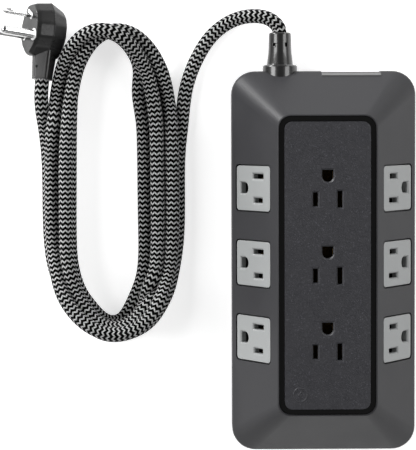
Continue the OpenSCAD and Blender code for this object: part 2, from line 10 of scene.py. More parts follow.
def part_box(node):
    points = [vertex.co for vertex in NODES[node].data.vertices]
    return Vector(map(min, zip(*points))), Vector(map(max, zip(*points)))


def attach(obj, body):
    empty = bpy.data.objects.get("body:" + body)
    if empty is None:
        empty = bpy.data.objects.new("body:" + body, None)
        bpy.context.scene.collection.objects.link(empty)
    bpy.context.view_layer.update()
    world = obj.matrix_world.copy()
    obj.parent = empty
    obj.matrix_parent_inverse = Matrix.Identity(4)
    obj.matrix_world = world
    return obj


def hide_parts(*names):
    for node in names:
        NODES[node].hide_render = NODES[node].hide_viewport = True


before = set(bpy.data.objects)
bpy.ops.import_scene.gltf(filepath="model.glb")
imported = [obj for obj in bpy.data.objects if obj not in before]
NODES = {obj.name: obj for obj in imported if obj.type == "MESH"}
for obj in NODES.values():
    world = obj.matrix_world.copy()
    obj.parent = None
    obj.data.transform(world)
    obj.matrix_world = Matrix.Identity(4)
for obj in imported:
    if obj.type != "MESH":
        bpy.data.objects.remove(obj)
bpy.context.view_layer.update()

BODY = "housing"
MM = 0.001

# ---------- camera ----------

CAMERA_AT = Vector((-0.0703, 0.0796, 1.0736))
CAMERA_AIM = Vector((0.00795, -0.05652, -0.99837))
CAMERA_ROLL = math.radians(-0.2)
CAMERA_LENS = 158.4


def make_camera():
    """The photo's view, as it was fitted to the outlets."""
    data = bpy.data.cameras.new("Camera")
    data.lens = CAMERA_LENS
    data.sensor_width = 36
    data.clip_start = 0.05
    data.clip_end = 20
    camera = bpy.data.objects.new("Camera", data)
    right = CAMERA_AIM.cross(Vector((0, 1, 0))).normalized()
    right.rotate(Matrix.Rotation(-CAMERA_ROLL, 3, CAMERA_AIM))
    up = right.cross(CAMERA_AIM).normalized()
    camera.matrix_world = Matrix.Translation(CAMERA_AT) @ Matrix(
        (right, up, -CAMERA_AIM.normalized())
    ).transposed().to_4x4()
    bpy.context.collection.objects.link(camera)
    bpy.context.scene.camera = camera


# ---------- cord route ----------

CORD_D = 7.7 * MM
CORD_EXIT = (-0.023, 0.1224, 0.010)

# from the boot's tip round to the coil's outer lane
LEAD_IN = [
    (-0.023, 0.1212, 0.010), (-0.0232, 0.1235, 0.010), (-0.0246, 0.1262, 0.010),
    (-0.028, 0.1293, 0.0098), (-0.033, 0.131, 0.009), (-0.039, 0.1313, 0.0078),
    (-0.046, 0.130, 0.0064), (-0.052, 0.127, 0.0054), (-0.058, 0.1225, 0.0046),
    (-0.063, 0.1165, 0.0041), (-0.067, 0.1095, 0.004), (-0.0705, 0.102, 0.004),
    (-0.073, 0.094, 0.004), (-0.0745, 0.086, 0.004), (-0.0763, 0.070, 0.0039),
    (-0.0777, 0.054, 0.0039),
]
# from the coil's outer lane up to the plug's relief
TAIL = [
    (-0.1476, 0.046, 0.0039), (-0.1478, 0.054, 0.0041), (-0.1482, 0.061, 0.005),
    (-0.1488, 0.068, 0.0069), (-0.1496, 0.075, 0.0096), (-0.1503, 0.081, 0.0124),
    (-0.1506, 0.087, 0.0142), (-0.1504, 0.093, 0.0149), (-0.1499, 0.0981, 0.0145),
    (-0.1497, 0.1005, 0.0142),
]
# middle line of the oval that the turns share: down its right side, round, and up its left side
OVAL = [
    (-0.088, 0.092), (-0.0856, 0.075), (-0.085, 0.056), (-0.0849, 0.038), (-0.0848, 0.020),
    (-0.085, 0.004), (-0.0866, -0.010), (-0.0903, -0.0218), (-0.0958, -0.0305), (-0.102, -0.0352),
    (-0.1095, -0.0373), (-0.117, -0.0368), (-0.124, -0.0335), (-0.130, -0.0283),
    (-0.1349, -0.022), (-0.1385, -0.013), (-0.1412, 0.0), (-0.142, 0.016), (-0.142, 0.036),
    (-0.1418, 0.056), (-0.1406, 0.075), (-0.1382, 0.092), (-0.1346, 0.106), (-0.1285, 0.116),
    (-0.1215, 0.1218), (-0.114, 0.1236), (-0.1065, 0.1218), (-0.0988, 0.1156), (-0.0918, 0.1045),
]
# places in the oval: its right side ends, its left side ends, the cord leaves for the plug,
# and its lowest spot, between two points
RIGHT_LAST = 10
LEFT_LAST = 22
TAIL_JOIN = 17
LOWEST = 10.5
# the lead-in brings the cord to this point of the first turn
FIRST_JOIN = 4
# y where the lanes start to gather, towards the bottom and the top of the oval, and the
# length over which they do
BOTTOM_FROM, BOTTOM_OVER = 0.030, 0.070
TOP_FROM, TOP_OVER = 0.055, 0.068
# share of its lane that a turn keeps at the bottom, for inner and outer lanes, and how many
# points it takes to change over
INNER_KEEPS, OUTER_KEEPS = 0.9, 0.3
CHANGE_OVER = 3
LAYER_RISE = 0.95
# one row per turn: lane on the right side and its layer, drop and layer at the bottom,
# lane on the left side and its layer, layer where it crosses the top
TURNS = [
    (0.0070, 0, 0.0026, 0, 0.0024, 0, 0),
    (-0.0112, 0, -0.0026, 1, 0.0059, 1, 1),
    (-0.0032, 0, -0.0020, 2, 0.0044, 2, 2),
    (0.0040, 1, 0.0002, 3, -0.0036, 1, 3),
    (-0.0040, 1, -0.0026, 1.5, -0.0056, 0, 0),
]
STEP = 4 * MM


def ease(t):
    """0 to 1 with a soft start and end, for t from 0 to 1."""
    t = min(max(t, 0.0), 1.0)
    return t * t * (3 - 2 * t)


def coil_points():
    """The turns of the coil, one after another, as points to be settled."""
    points = []
    for turn, (right, r_layer, drop, b_layer, left, l_layer, t_layer) in enumerate(TURNS):
        last = turn == len(TURNS) - 1
        following = TURNS[min(turn + 1, len(TURNS) - 1)]
        for i, (x, y) in enumerate(OVAL):
            if turn == 0 and i < FIRST_JOIN:
                continue
            if last and i > TAIL_JOIN:
                break
            if i <= RIGHT_LAST:
                lane, layer, far_layer = right, r_layer, b_layer
            elif i <= LEFT_LAST:
                lane, layer, far_layer = left, l_layer, b_layer
            else:
                lane, layer, far_layer = following[0], following[1], t_layer
            if y < TOP_FROM:
                share = ease((BOTTOM_FROM - y) / BOTTOM_OVER)
                inner = lane < 0 if i <= RIGHT_LAST else lane > 0
                keeps = INNER_KEEPS if inner else OUTER_KEEPS
                middle = keeps * lane * ease(abs(i - LOWEST) / CHANGE_OVER)
                y -= drop * share
            else:
                share = ease((y - TOP_FROM) / TOP_OVER)
                middle = (following[0] + left) / 2 if i > RIGHT_LAST else right
                far_layer = t_layer if i > RIGHT_LAST else TURNS[turn - 1][6]
            lane += (middle - lane) * share
            layer += (far_layer - layer) * share
            points.append((x + lane, y, CORD_D * (0.5 + LAYER_RISE * layer)))
    return points


SPLINE_CUTS = 24


def spline(points, step):
    """Points a set distance apart on a smooth curve through the given ones."""
    points = np.array(points, float)
    padded = np.vstack((2 * points[0] - points[1], points, 2 * points[-1] - points[-2]))
    fine = []
    for a, b, c, d in zip(padded, padded[1:], padded[2:], padded[3:]):
        for t in np.linspace(0, 1, SPLINE_CUTS, endpoint=False):
            fine.append(0.5 * (2 * b + (c - a) * t + (2 * a - 5 * b + 4 * c - d) * t**2
                               + (3 * b - a - 3 * c + d) * t**3))
    fine.append(points[-1])
    fine = np.array(fine)
    along = np.r_[0, np.cumsum(np.linalg.norm(np.diff(fine, axis=0), axis=1))]
    stations = np.linspace(0, along[-1], int(round(along[-1] / step)) + 1)
    return np.stack([np.interp(stations, along, fine[:, k]) for k in range(3)], 1)


SETTLE_STEPS = 260
SINK_STEPS = 208
SINK = 0.04 * MM
PUSH = 0.5
# turns give way sideways less than they do upwards
GIVE = np.array((0.35, 0.35, 1.0))
STIFFNESS = 0.9
KEEP_ROUTE = 0.06
# points at the two ends of the cord that stay where they are
HOLD_START = 6
HOLD_END = 15
TIGHTEST = 11.5 * MM
# share of a bend that one round takes out, rounds before the turns settle, and rounds in
# each step of settling
UNBEND_SHARE = 0.25
UNBEND_ROUTE = 400
UNBEND_STEP = 4
# diameters along the cord within which it doesn't push on itself
NEIGHBOUR_REACH = 2.2


def unbend(path, rounds):
    """Eases out, in place, every bend that is tighter than the cord would take."""
    free = path[HOLD_START:-HOLD_END]
    widest = STEP**2 / TIGHTEST
    for _ in range(rounds):
        bend = free[:-2] - 2 * free[1:-1] + free[2:]
        size = np.linalg.norm(bend, axis=1)[:, None] + 1e-9
        free[1:-1] += UNBEND_SHARE * np.clip(1 - widest / size, 0, None) * bend


def settle(path):
    """Lets the turns push each other apart, sink and stiffen until they lie on one another."""
    count = len(path)
    order = np.arange(count)
    neighbours = np.abs(order[:, None] - order[None, :]) < int(NEIGHBOUR_REACH * CORD_D / STEP)
    unbend(path, UNBEND_ROUTE)
    placed = path.copy()
    for step in range(SETTLE_STEPS):
        offset = placed[:, None, :] - placed[None, :, :]
        distance = np.sqrt((offset**2).sum(2)) + 1e-9
        overlap = np.where(neighbours, 0, np.clip(CORD_D - distance, 0, None))
        push = (overlap / distance)[:, :, None] * offset * GIVE
        touching = np.maximum((overlap > 0).sum(1), 1)[:, None]
        placed += PUSH * push.sum(1) / touching
        if step < SINK_STEPS:
            placed[:, 2] -= SINK
        stiff = np.zeros_like(placed)
        stiff[2:-2] = (4 * (placed[1:-3] + placed[3:-1]) - placed[:-4] - placed[4:]
                       - 6 * placed[2:-2]) / 16
        placed += STIFFNESS * stiff
        placed[:, :2] += KEEP_ROUTE * (path[:, :2] - placed[:, :2])
        placed[:, 2] = np.maximum(placed[:, 2], CORD_D / 2)
        unbend(placed, UNBEND_STEP)
        placed[:HOLD_START] = path[:HOLD_START]
        placed[-HOLD_END:] = path[-HOLD_END:]
    return placed


# ---------- mesh helpers ----------


def add_mesh(name, vertices, faces, smooth=True):
    """A new piece in the scene, from its points and faces."""
    mesh = bpy.data.meshes.new(name)
    mesh.from_pydata([tuple(v) for v in vertices], [], faces)
    mesh.validate()
    mesh.polygons.foreach_set("use_smooth", [smooth] * len(mesh.polygons))
    piece = bpy.data.objects.new(name, mesh)
    bpy.context.collection.objects.link(piece)
    return piece


def frames_along(path):
    """A sideways and an upward direction at each point, carried along without twist."""
    tangents = np.gradient(path, axis=0)
    tangents /= np.linalg.norm(tangents, axis=1)[:, None]
    side = np.cross(tangents[0], (0, 0, 1.0))
    side /= np.linalg.norm(side)
    sides = [side]
    for tangent in tangents[1:]:
        side = side - tangent * side.dot(tangent)
        side /= np.linalg.norm(side)
        sides.append(side)
    sides = np.array(sides)
    return sides, np.cross(sides, tangents)


# ---------- braided cord ----------

BRAID_SIDES = 32
BRAID_COLUMNS = 8
BRAID_ROW = 2.65 * MM
BRAID_STEP = BRAID_ROW / 4
BRAID_SWING = 0.45
BRAID_RELIEF = 0.16 * MM
# the rows' share of the relief, the rest is the columns'; and where a row starts
ROW_SHARE = 0.75
ROW_START = 0.25
# strands side by side in a row, and the greys of its light and its dark yarn
STRANDS = 7
PALE_YARN = (88, 203)
DARK_YARN = (1, 9)


def zigzag(around):
    """0 to 1 and back, once per column of the braid."""
    phase = (around * BRAID_COLUMNS) % 1.0
    return 1 - np.abs(2 * phase - 1)


def make_cord():
    """The cord's skin with its raised rows, and a map of rows and columns for the look."""
    settled = settle(spline(LEAD_IN + coil_points() + TAIL, STEP))
    path = spline(settled, BRAID_STEP)
    sides, ups = frames_along(path)
    around = np.arange(BRAID_SIDES) / BRAID_SIDES
    rows = np.arange(len(path)) * BRAID_STEP / BRAID_ROW
    weave = rows[:, None] + BRAID_SWING * zigzag(around)[None, :]
    raised = 0.5 + 0.5 * np.cos(2 * np.pi * (weave - ROW_START))
    ridge = 1 - np.abs(2 * zigzag(around) - 1)[None, :]
    radius = CORD_D / 2 - BRAID_RELIEF * (1 - ROW_SHARE * raised - (1 - ROW_SHARE) * ridge)
    angle = 2 * np.pi * around
    ring = (np.cos(angle)[None, :, None] * sides[:, None, :]
            + np.sin(angle)[None, :, None] * ups[:, None, :])
    vertices = (path[:, None, :] + radius[:, :, None] * ring).reshape(-1, 3)
    i, k = np.meshgrid(np.arange(len(path) - 1), np.arange(BRAID_SIDES), indexing="ij")
    k2 = (k + 1) % BRAID_SIDES
    quads = np.stack((i * BRAID_SIDES + k, (i + 1) * BRAID_SIDES + k,
                      (i + 1) * BRAID_SIDES + k2, i * BRAID_SIDES + k2), -1).reshape(-1, 4)
    end = (len(path) - 1) * BRAID_SIDES
    caps = [list(range(BRAID_SIDES)), list(range(end + BRAID_SIDES - 1, end - 1, -1))]
    cord = add_mesh("braided_cord", vertices, quads.tolist() + caps)
    across = np.stack((k, k, k + 1, k + 1), -1) / BRAID_SIDES
    along = np.stack((rows[i], rows[i + 1], rows[i + 1], rows[i]), -1)
    weave_map = np.zeros((len(cord.data.loops), 2))
    weave_map[:quads.size, 0] = across.reshape(-1)
    weave_map[:quads.size, 1] = along.reshape(-1)
    cord.data.uv_layers.new(name="weave").data.foreach_set("uv", weave_map.reshape(-1))
    cord.data.materials.append(braid_material())
    return cord, path


# ---------- materials ----------


def linear(grey):
    """A display colour from 0 to 255, as the linear colour that a shader takes."""
    values = (grey,) * 3 if isinstance(grey, (int, float)) else grey
    return tuple(((v / 255 + 0.055) / 1.055) ** 2.4 if v > 10 else v / 255 / 12.92
                 for v in values)


class Look:
    """A node material being built, with short calls for the nodes that the looks share."""

    def __init__(self, name, colour, roughness, metallic=0.0):
        self.material = bpy.data.materials.new(name)
        self.material.use_nodes = True
        self.nodes = self.material.node_tree.nodes
        self.links = self.material.node_tree.links
        self.shader = self.nodes["Principled BSDF"]
        self.colour = (*linear(colour), 1)
        self.set("Base Color", self.colour)
        self.set("Roughness", roughness)
        self.set("Metallic", metallic)
        self.place = self.nodes.new("ShaderNodeTexCoord").outputs["Object"]

    def set(self, socket, value):
        self.shader.inputs[socket].default_value = value

    def join(self, output, socket):
        self.links.new(output, self.shader.inputs[socket])

    def node(self, kind, inputs=(), **settings):
        node = self.nodes.new(kind)
        for key, value in settings.items():
            setattr(node, key, value)
        for key, value in dict(inputs).items():
            if isinstance(value, bpy.types.NodeSocket):
                self.links.new(value, node.inputs[key])
            else:
                node.inputs[key].default_value = value
        return node

    def maths(self, operation, a, b=0.0, c=0.0):
        return self.node("ShaderNodeMath", {0: a, 1: b, 2: c}, operation=operation).outputs[0]

    def noise(self, scale, detail=2.0, place=None):
        return self.node("ShaderNodeTexNoise",
                         {"Vector": place or self.place, "Scale": scale, "Detail": detail}
                         ).outputs["Fac"]

    def stretched(self, x, y, z):
        return self.node("ShaderNodeMapping", {"Vector": self.place, "Scale": (x, y, z)}
                         ).outputs["Vector"]

    def remap(self, value, low, high, start=0.3, stop=0.7):
        return self.node("ShaderNodeMapRange",
                         {"Value": value, "From Min": start, "From Max": stop,
                          "To Min": low, "To Max": high}).outputs["Result"]

    def blend(self, share, first, second):
        mix = self.node("ShaderNodeMix", {0: share}, data_type="RGBA")
        for socket, value in ((6, first), (7, second)):
            if isinstance(value, bpy.types.NodeSocket):
                self.links.new(value, mix.inputs[socket])
            else:
                mix.inputs[socket].default_value = value
        return mix.outputs[2]

    def bump(self, height, distance, strength=1.0):
        return self.node("ShaderNodeBump",
                         {"Height": height, "Distance": distance, "Strength": strength}
                         ).outputs["Normal"]


def moulded(name, colour, roughness, grain=2200, depth=0.02 * MM, mottle=0.06, sheen=0.5,
            painted_shade_reach=0):
    """Moulded plastic or rubber: a fine grain, a slight mottle and uneven gloss. Given a
    depth, holes and gaps get painted shade: ambient occlusion darkens their insides."""
    look = Look(name, colour, roughness)
    look.set("Specular IOR Level", sheen)
    fine = look.noise(grain, 3)
    broad = look.noise(60, 3)
    darker = tuple(c * (1 - mottle) for c in look.colour[:3]) + (1,)
    lighter = tuple(min(1, c * (1 + mottle)) for c in look.colour[:3]) + (1,)
    patch = look.maths("MULTIPLY_ADD", fine, 0.6, look.maths("MULTIPLY", broad, 0.4))
    tone = look.blend(look.remap(patch, 0, 1), darker, lighter)
    if painted_shade_reach:
        # painted shade: ambient occlusion within this depth darkens holes and the gaps round the
        # part
        openness = look.node("ShaderNodeAmbientOcclusion", {"Distance": painted_shade_reach}, samples=8
                             ).outputs["AO"]
        tone = look.blend(look.remap(openness, 0.1, 1, 0.3, 0.75), (0, 0, 0, 1), tone)
    look.join(tone, "Base Color")
    look.join(look.remap(broad, roughness * 0.9, min(1, roughness * 1.12)), "Roughness")
    look.join(look.bump(fine, depth), "Normal")
    return look.material


def grained(name, colour, roughness):
    """Textured mould finish: fine pits, with painted glints scattered over them."""
    look = Look(name, colour, roughness)
    pits = look.node("ShaderNodeTexVoronoi", {"Vector": look.place, "Scale": 1500}
                     ).outputs["Distance"]
    cloud = look.noise(900, 4)
    height = look.maths("MULTIPLY_ADD", pits, 0.7, cloud)
    speck = look.remap(height, 0, 1, 0.5, 1.1)
    dark = tuple(c * 0.72 for c in look.colour[:3]) + (1,)
    light = tuple(c * 1.25 for c in look.colour[:3]) + (1,)
    # painted glints: specks far brighter than the plastic, put in its colour where light would
    # catch the pits
    glint_mask = look.remap(look.noise(1300, 2), 0, 1, 0.6, 0.72)
    painted_glint = tuple(c * 2.6 for c in look.colour[:3]) + (1,)
    look.join(look.blend(glint_mask, look.blend(speck, dark, light), painted_glint), "Base Color")
    look.join(look.remap(look.noise(400), roughness * 0.88, roughness * 1.15), "Roughness")
    look.join(look.bump(height, 0.09 * MM), "Normal")
    return look.material


def gloss(name, colour, roughness, coat=0.6):
    """Polished plastic, with faint moulding waves and a trace of dust."""
    look = Look(name, colour, roughness)
    look.set("Coat Weight", coat)
    look.set("Coat Roughness", 0.08)
    dust = look.noise(1800, 4)
    look.join(look.remap(dust, roughness, roughness * 1.8, 0.55, 0.8), "Roughness")
    look.join(look.bump(look.noise(45, 1), 0.02 * MM, 0.3), "Normal")
    return look.material


def metal(name, colour, roughness, lay=(1, 1, 1)):
    """Drawn or plated metal, its fine scratches stretched along one direction."""
    look = Look(name, colour, roughness, metallic=1.0)
    scratches = look.noise(900, 3, look.stretched(*lay))
    look.join(look.remap(scratches, roughness * 0.7, roughness * 1.5), "Roughness")
    tint = tuple(c * 0.86 for c in look.colour[:3]) + (1,)
    look.join(look.blend(look.remap(scratches, 0, 1), tint, look.colour), "Base Color")
    look.join(look.bump(scratches, 0.0015 * MM), "Normal")
    return look.material


def laminate(name, colour):
    """Glass-fibre board: a fine square weave under a green coat."""
    look = Look(name, colour, 0.35)
    weave = [look.node("ShaderNodeTexWave", {"Vector": look.place, "Scale": 260},
                       bands_direction=axis).outputs["Fac"] for axis in ("X", "Y")]
    cloth = look.maths("MULTIPLY", weave[0], weave[1])
    pale = tuple(c * 1.4 for c in look.colour[:3]) + (1,)
    look.join(look.blend(cloth, look.colour, pale), "Base Color")
    look.join(look.bump(cloth, 0.02 * MM), "Normal")
    return look.material


def braid_material():
    """Two-tone braid: light and dark rows that run round the cord in a zigzag."""
    look = Look("cord_braid", 120, 0.7)
    look.set("Specular IOR Level", 0.04)
    chart = look.node("ShaderNodeUVMap", uv_map="weave").outputs["UV"]
    split = look.node("ShaderNodeSeparateXYZ", {"Vector": chart})
    around, along = split.outputs["X"], split.outputs["Y"]
    columns = look.maths("MULTIPLY", around, BRAID_COLUMNS)
    swing = look.maths("PINGPONG", columns, 0.5)
    rise = look.maths("MULTIPLY", swing, 2 * BRAID_SWING)
    weave = look.maths("ADD", along, rise)
    wave = look.maths("COSINE", look.maths("MULTIPLY", look.maths("SUBTRACT", weave, ROW_START),
                                           2 * math.pi))
    light = look.remap(wave, 0, 1, 0.3, 0.52)
    strands = look.maths("SINE", look.maths("MULTIPLY", weave, 2 * math.pi * STRANDS))
    tips = look.maths("SUBTRACT", 1.0, look.maths("ABSOLUTE", look.maths(
        "MULTIPLY_ADD", swing, 4.0, -1.0)))
    fibre = look.noise(2600, 3)
    # painted highlight: the pale yarn is lighter along the tips mask; the fibre noise is its own
    # random tone
    fibre_tone_and_highlight = look.maths("MULTIPLY_ADD", tips, 0.35, look.remap(fibre, 0, 0.8))
    pale = look.blend(fibre_tone_and_highlight, *((*linear(grey), 1) for grey in PALE_YARN))
    dark = look.blend(look.remap(fibre, 0, 1), *((*linear(grey), 1) for grey in DARK_YARN))
    look.join(look.blend(light, dark, pale), "Base Color")
    look.join(look.remap(fibre, 0.75, 0.95), "Roughness")
    rounded = look.maths("MULTIPLY_ADD", look.maths("ABSOLUTE", wave), 0.8, tips)
    height = look.maths("MULTIPLY_ADD", strands, 0.22, rounded)
    look.join(look.bump(height, 0.16 * MM, 0.8), "Normal")
    return look.material


def make_materials():
    """Every finish but the cord's and the floor's, by a short name."""
    return {
        "shell": moulded("shell_plastic", (52, 52, 54), 0.37, grain=1500, depth=0.02 * MM,
                         sheen=0.15),
        "panel": grained("panel_plastic", (42, 42, 46), 0.5),
        "trim": gloss("trim_gloss", 8, 0.14),
        # the faces get painted shade inside their holes and in the gap round each face
        "face": moulded("face_plastic", (138, 140, 140), 0.42, grain=1800, depth=0.015 * MM,
                        mottle=0.03, painted_shade_reach=2.5 * MM),
        # near black as painted shade: it darkens the slots over the contacts
        "carrier": moulded("carrier_plastic", 26, 0.6),
        # darker than clean brass as painted shade deep in the slots
        "brass": metal("contact_brass", (84, 68, 42), 0.5),
        "board": laminate("board_laminate", (24, 84, 48)),
        "varistor": moulded("varistor_epoxy", (36, 66, 140), 0.35, grain=700),
        "capacitor": moulded("capacitor_case", (206, 160, 52), 0.32),
        "choke": moulded("choke_ferrite", (78, 52, 36), 0.55, grain=500, depth=0.1 * MM),
        "fuse": metal("fuse_case", 205, 0.3),
        "switch": gloss("switch_gloss", 16, 0.2, coat=0.4),
        "lead_black": moulded("lead_black", 22, 0.4),
        "lead_white": moulded("lead_white", 225, 0.4),
        "lead_green": moulded("lead_green", (40, 120, 62), 0.4),
        "steel": metal("screw_steel", 190, 0.28),
        "foot": moulded("foot_rubber", 30, 0.75, grain=900, depth=0.06 * MM),
        "relief": gloss("relief_rubber", 24, 0.3, coat=0.5),
        "plug": moulded("plug_rubber", 32, 0.27, grain=1600, depth=0.02 * MM, mottle=0.12,
                        sheen=0.36),
        "bridge": moulded("bridge_plastic", 232, 0.4),
        "blade": metal("blade_nickel", 218, 0.16, lay=(0.15, 1, 1)),
        # lighter than the shell: a painted highlight along the recess edge
        "lip": moulded("lip_painted_highlight", 92, 0.3),
        "mark": moulded("mark_white", 205, 0.5),
    }


# ---------- CAD nodes that stay ----------


def soften(name, material, width=0.25 * MM, segments=2, limit=30):
    """Rounds a CAD node's sharp edges and gives it its finish."""
    piece = NODES[name]
    piece.data.polygons.foreach_set("use_smooth", [True] * len(piece.data.polygons))
    weld = piece.modifiers.new("Join corners", "WELD")
    weld.merge_threshold = 0.002 * MM
    # merged flats leave a dark line across the holed top of the panel
    if name != "centre_panel":
        flat = piece.modifiers.new("Merge flats", "DECIMATE")
        flat.decimate_type = "DISSOLVE"
        flat.angle_limit = math.radians(0.4)
    bevel = piece.modifiers.new("Round edges", "BEVEL")
    bevel.width = width
    bevel.segments = segments
    bevel.limit_method = "ANGLE"
    bevel.angle_limit = math.radians(limit)
    piece.modifiers.new("Even shading", "WEIGHTED_NORMAL")
    paint(piece, material)


def paint(piece, material):
    """Gives every face of the piece one material."""
    slots = piece.material_slots
    if not slots:
        piece.data.materials.append(material)
    for slot in slots:
        slot.material = material


def finish_frame(looks):
    """Rounds and paints the CAD nodes that stay, with edge widths in millimetres."""
    softened = {
        "upper_housing": ("shell", 0.35), "base_cover": ("shell", 0.3),
        "centre_trim_ring": ("trim", 0.2), "centre_panel": ("panel", 0.6),
        "switch_frame": ("switch", 0.25), "switch_rocker": ("switch", 0.4),
        "plug_bridge": ("bridge", 0.2),
        "plug_line_blade": ("blade", 0.2), "plug_neutral_blade": ("blade", 0.2),
        "plug_ground_pin": ("blade", 0.2), "rubber_feet": ("foot", 0.3),
        "cord_clamp": ("carrier", 0.3), "filter_capacitor": ("capacitor", 0.8),
        "varistors": ("varistor", 1.0), "choke_coil": ("choke", 0.8),
        "thermal_fuse": ("fuse", 0.3), "circuit_board": ("board", 0.15),
        "switch_terminals": ("brass", 0.1),
    }
    for name, (look, width) in softened.items():
        soften(name, looks[look], width * MM)
    for column in ("centre", "left", "right"):
        soften(column + "_contact_carrier", looks["carrier"], 0.2 * MM)
        for pole in ("line", "neutral", "ground"):
            soften(f"{column}_{pole}_contacts", looks["brass"], 0.08 * MM)
    for side in ("left", "right"):
        for row in (1, 2, 3):
            soften(f"{side}_outlet_face_{row}", looks["face"], 0.3 * MM)
    for name in ("clamp_screws", "board_screws", "housing_screws"):
        soften(name, looks["steel"], 0.15 * MM)
    for name, look in (("line", "lead_black"), ("neutral", "lead_white"), ("ground", "lead_green")):
        soften(name + "_lead", looks[look], 0.05 * MM, limit=60)


# ---------- strain relief boot ----------

BOOT_AXIS = Vector((-0.023, 0, 0.010))
BOOT_WALL_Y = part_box("upper_housing")[1].y
BOOT_SIDES = 96
COLLAR_LENGTH = 3.4 * MM
# the two openings: side of the boot, width and length in millimetres
BOOT_SLOTS = [(-1, 2.1, 1.5), (1, 1.6, 2.0)]
SLOT_LEAN = 32
SLOT_AT = Vector((0, 0.1158, 0))
SLOT_OUT = Vector((0, 0, 0.0062))
SLOT_DEPTH = 3.9 * MM


def lathe(name, profile, axis_at, sides=BOOT_SIDES):
    """A piece turned about an axis along +Y, from (radius, y) points."""
    vertices = []
    for radius, y in profile:
        for k in range(sides):
            angle = 2 * math.pi * k / sides
            vertices.append((axis_at.x + radius * math.cos(angle), y,
                             axis_at.z + radius * math.sin(angle)))
    faces = [(j * sides + k, (j + 1) * sides + k, (j + 1) * sides + (k + 1) % sides,
              j * sides + (k + 1) % sides)
             for j in range(len(profile) - 1) for k in range(sides)]
    faces.append(tuple(range(sides)))
    faces.append(tuple(range(len(profile) * sides - 1, (len(profile) - 1) * sides - 1, -1)))
    return add_mesh(name, vertices, faces)


def arc(centre, radius, start, stop, count=6):
    """Points of an arc in the (radius, y) plane, angles in degrees."""
    return [(centre[0] + radius * math.cos(math.radians(a)),
             centre[1] + radius * math.sin(math.radians(a)))
            for a in np.linspace(start, stop, count)]


def cut(piece, cutter):
    """Takes the cutter's shape out of the piece and removes the cutter."""
    boolean = piece.modifiers.new("Cut", "BOOLEAN")
    boolean.object = cutter
    boolean.solver = "EXACT"
    apply_modifiers(piece)
    bpy.data.objects.remove(cutter)


def apply_modifiers(piece):
    """Keeps the shape that the modifiers make and clears them."""
    evaluated = piece.evaluated_get(bpy.context.evaluated_depsgraph_get())
    mesh = bpy.data.meshes.new_from_object(evaluated)
    piece.modifiers.clear()
    piece.data = mesh


def box_at(name, centre, size, rotation):
    """A box turned about its middle, to cut with."""
    corners = [Vector((x, y, z)) for x in (-0.5, 0.5) for y in (-0.5, 0.5) for z in (-0.5, 0.5)]
    vertices = [centre + rotation @ Vector((c.x * size[0], c.y * size[1], c.z * size[2]))
                for c in corners]
    faces = [(0, 1, 3, 2), (4, 6, 7, 5), (0, 4, 5, 1), (2, 3, 7, 6), (0, 2, 6, 4), (1, 5, 7, 3)]
    return add_mesh(name, vertices, faces, smooth=False)


def make_boot(looks):
    """Strain relief: a root in the block, a collar, and a waisted barrel with two openings."""
    wall = BOOT_WALL_Y
    tip = CORD_EXIT[1]
    collar = wall + COLLAR_LENGTH
    profile = [(0.0038, wall - 19 * MM), (0.0038, wall - 8 * MM), (0.006, wall - 8 * MM),
               (0.006, wall - 4 * MM), (0.0092, wall - 4 * MM)]
    profile += arc((0.0080, collar - 1.2 * MM), 0.0012, 0, 90)
    profile += arc((0.00745, collar + 0.5 * MM), 0.0005, 270, 180, 4)
    profile += [(0.00665, collar + 3.0 * MM), (0.00625, collar + 6.0 * MM),
                (0.00605, collar + 9.0 * MM), (0.00598, tip - 4 * MM)]
    profile += arc((0.0048, tip - 1.1 * MM), 0.0011, 0, 90)
    profile += [(0.00395, tip), (0.00395, tip - 0.8 * MM)]
    boot = lathe("strain_relief_boot", profile, BOOT_AXIS)
    for side, width, length in BOOT_SLOTS:
        lean = Matrix.Rotation(math.radians(SLOT_LEAN * side), 3, "Y")
        centre = BOOT_AXIS + SLOT_AT + lean @ SLOT_OUT
        slot = box_at("slot", centre, (width * MM, length * MM, SLOT_DEPTH), lean)
        cut(boot, slot)
    bevel = boot.modifiers.new("Round slots", "BEVEL")
    bevel.width = 0.15 * MM
    bevel.segments = 2
    bevel.limit_method = "ANGLE"
    bevel.angle_limit = math.radians(40)
    bevel.use_clamp_overlap = False
    boot.modifiers.new("Even shading", "WEIGHTED_NORMAL")
    paint(boot, looks["relief"])
    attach(boot, BODY)
    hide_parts("strain_relief")
    return boot


# ---------- lip over the switch recess ----------

# the strip's two ends, along the width of the block
LIP_X = (-0.0011, 0.0305)


def make_lip(looks):
    """A slim chamfered strip along the top of the recess in the cord end; its light grey is a
    painted highlight.
    """
    section = [(0.1010, 0.0150), (0.1010, 0.0158), (0.0995, 0.0190), (0.0989, 0.0190),
               (0.0989, 0.0150)]
    lip = stack("recess_lip", [[(x, y, z) for y, z in section] for x in LIP_X])
    round_off(lip, 0.2 * MM)
    paint(lip, looks["lip"])
    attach(lip, BODY)


# ---------- on and off marks of the rocker ----------

# the rocker's axle, its face ahead of the axle and its marks to either side, in millimetres
ROCKER_AT = Vector((0.0147, 0.0955, 0.0086))
ROCKER_FACE = 4.5
MARK_OUT = 8.6
ROCKER_REST = math.radians(5)
RING_SIDES = 40


